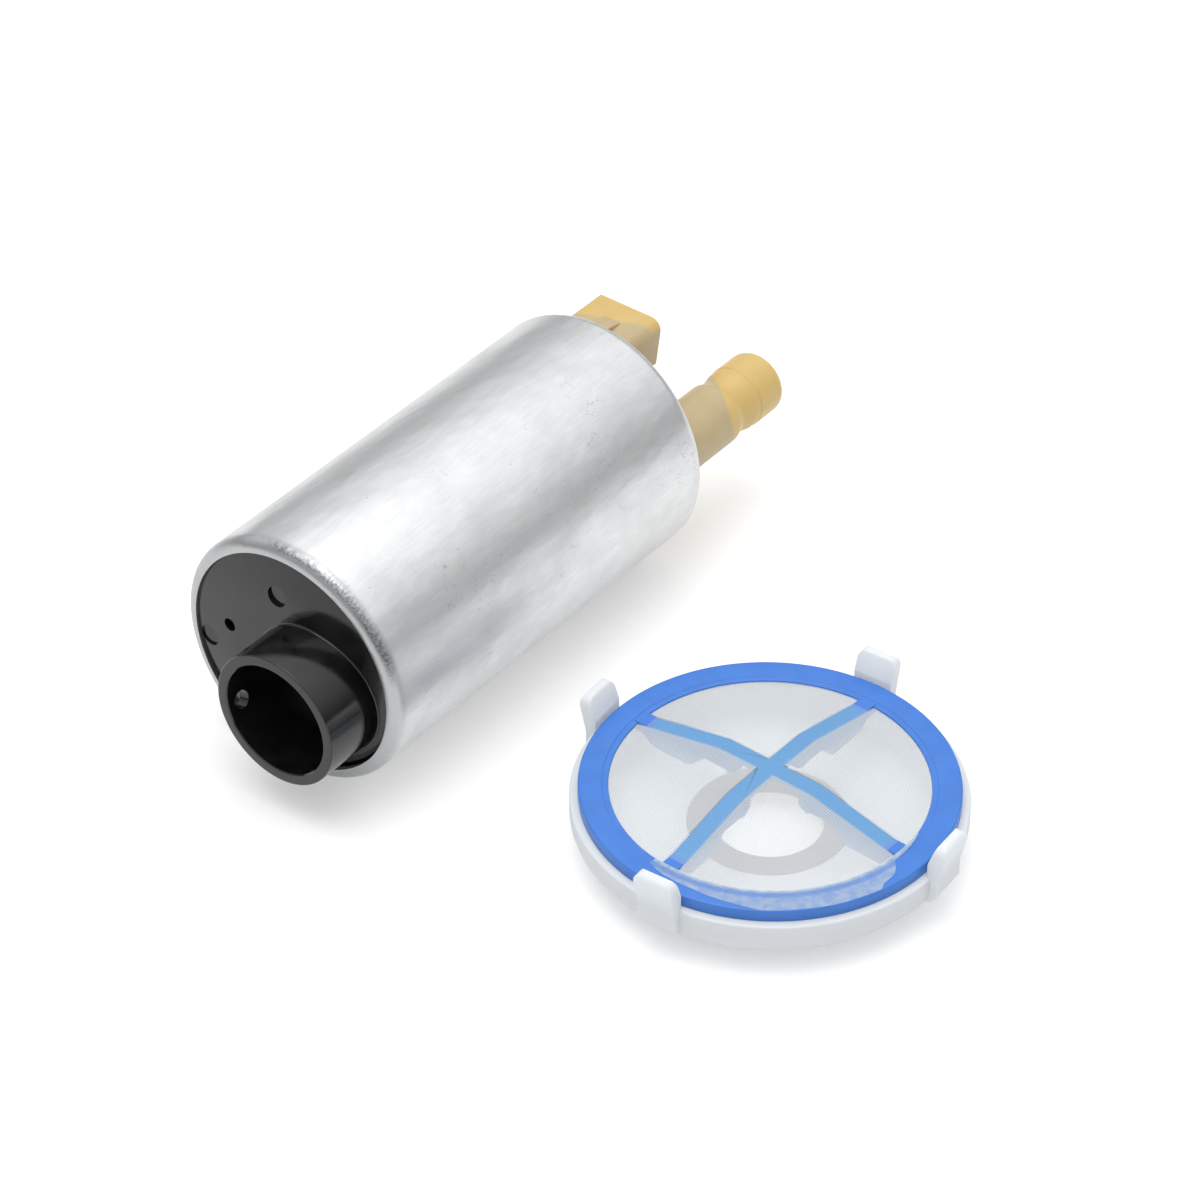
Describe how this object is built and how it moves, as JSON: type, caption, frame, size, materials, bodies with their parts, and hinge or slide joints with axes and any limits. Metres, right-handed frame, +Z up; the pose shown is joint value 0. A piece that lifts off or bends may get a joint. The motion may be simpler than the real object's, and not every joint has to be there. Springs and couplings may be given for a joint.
{
  "type": "electric fuel pump",
  "caption": "In-tank electric fuel pump with rolled casing, offset inlet tube, hose nipple and plug housing, motor and turbine inside, and its inlet strainer laid beside it.",
  "frame": {"origin": "on the pump's axis, half way along its casing tube", "axes": "+X along the pump's axis, from the inlet end to the outlet end; +Z up from the floor that the pump and its strainer lie on; +Y away from the strainer"},
  "size_m": [0.1027, 0.1091, 0.038],
  "materials": {
    "casing_tube": "drawn and brushed",
    "inlet_cover": "moulded",
    "thrust_pad": "polished",
    "chamber_housing": "moulded",
    "front_bearing": "sintered",
    "impeller": "moulded",
    "rotor_shaft": "ground",
    "flux_ring": "rolled",
    "magnet_a": "pressed ferrite",
    "magnet_b": "pressed ferrite",
    "magnet_clip_a": "spring steel",
    "magnet_clip_b": "spring steel",
    "armature_core": "stacked laminations",
    "armature_windings": "enamelled copper wire",
    "commutator_hub": "moulded",
    "commutator_bars": "turned copper",
    "brush_a": "pressed carbon",
    "brush_b": "pressed carbon",
    "brush_spring_a": "drawn wire",
    "brush_spring_b": "drawn wire",
    "brush_cap_a": "stamped",
    "brush_cap_b": "stamped",
    "choke_a": "enamelled copper wire on ferrite",
    "choke_b": "enamelled copper wire on ferrite",
    "outlet_cover": "moulded natural nylon",
    "outlet_o_ring": "moulded",
    "rear_bearing": "sintered",
    "terminal_positive": "tin-plated",
    "terminal_negative": "tin-plated",
    "check_valve_seat": "turned",
    "check_valve_plunger": "moulded",
    "check_valve_spring": "drawn wire",
    "relief_valve_ball": "ground",
    "relief_valve_spring": "drawn wire",
    "relief_valve_cap": "stamped",
    "strainer_dish": "moulded, translucent",
    "strainer_seal": "moulded",
    "strainer_frame": "moulded",
    "strainer_mesh": "fine woven cloth"
  },
  "bodies": {
    "pump_body": {"casing_tube": "casing_tube", "inlet_cover": "inlet_cover", "thrust_pad": "thrust_pad", "chamber_housing": "chamber_housing", "front_bearing": "front_bearing", "flux_ring": "flux_ring", "magnet_a": "magnet_a", "magnet_b": "magnet_b", "magnet_clip_a": "magnet_clip_a", "magnet_clip_b": "magnet_clip_b", "brush_spring_a": "brush_spring_a", "brush_spring_b": "brush_spring_b", "brush_cap_a": "brush_cap_a", "brush_cap_b": "brush_cap_b", "choke_a": "choke_a", "choke_b": "choke_b", "outlet_cover": "outlet_cover", "outlet_o_ring": "outlet_o_ring", "rear_bearing": "rear_bearing", "terminal_positive": "terminal_positive", "terminal_negative": "terminal_negative", "check_valve_seat": "check_valve_seat", "check_valve_spring": "check_valve_spring", "relief_valve_spring": "relief_valve_spring", "relief_valve_cap": "relief_valve_cap"},
    "rotor": {"rotor_shaft": "rotor_shaft", "armature_core": "armature_core", "armature_windings": "armature_windings", "commutator_hub": "commutator_hub", "commutator_bars": "commutator_bars", "impeller": "impeller"},
    "check_valve": {"check_valve_plunger": "check_valve_plunger"},
    "relief_valve": {"relief_valve_ball": "relief_valve_ball"},
    "carbon_brush_a": {"brush_a": "brush_a"},
    "carbon_brush_b": {"brush_b": "brush_b"},
    "strainer": {"strainer_dish": "strainer_dish", "strainer_seal": "strainer_seal", "strainer_frame": "strainer_frame", "strainer_mesh": "strainer_mesh"}
  },
  "joints": [
    {"name": "rotor_spin", "type": "hinge", "parent": "pump_body", "child": "rotor", "pos_m": [0, 0, 0], "axis": [1, 0, 0], "continuous": true},
    {"name": "check_valve_lift", "type": "slide", "parent": "pump_body", "child": "check_valve", "axis": [1, 0, 0], "range_m": [0, 0.003], "stiffness_N_per_m": 100, "springref_m": -0.005, "deforming": ["check_valve_spring"]},
    {"name": "relief_valve_lift", "type": "slide", "parent": "pump_body", "child": "relief_valve", "axis": [1, 0, 0], "range_m": [0, 0.0008], "stiffness_N_per_m": 800, "springref_m": -0.003, "deforming": ["relief_valve_spring"]},
    {"name": "brush_a_slide", "type": "slide", "parent": "pump_body", "child": "carbon_brush_a", "axis": [1, 0, 0], "range_m": [0, 0.002], "stiffness_N_per_m": 200, "springref_m": -0.005, "deforming": ["brush_spring_a"]},
    {"name": "brush_b_slide", "type": "slide", "parent": "pump_body", "child": "carbon_brush_b", "axis": [1, 0, 0], "range_m": [0, 0.002], "stiffness_N_per_m": 200, "springref_m": -0.005, "deforming": ["brush_spring_b"]},
    {"name": "strainer_lift", "type": "slide", "parent": "pump_body", "child": "strainer", "axis": [0, 0, 1], "range_m": [0, 0.045]}
  ]
}
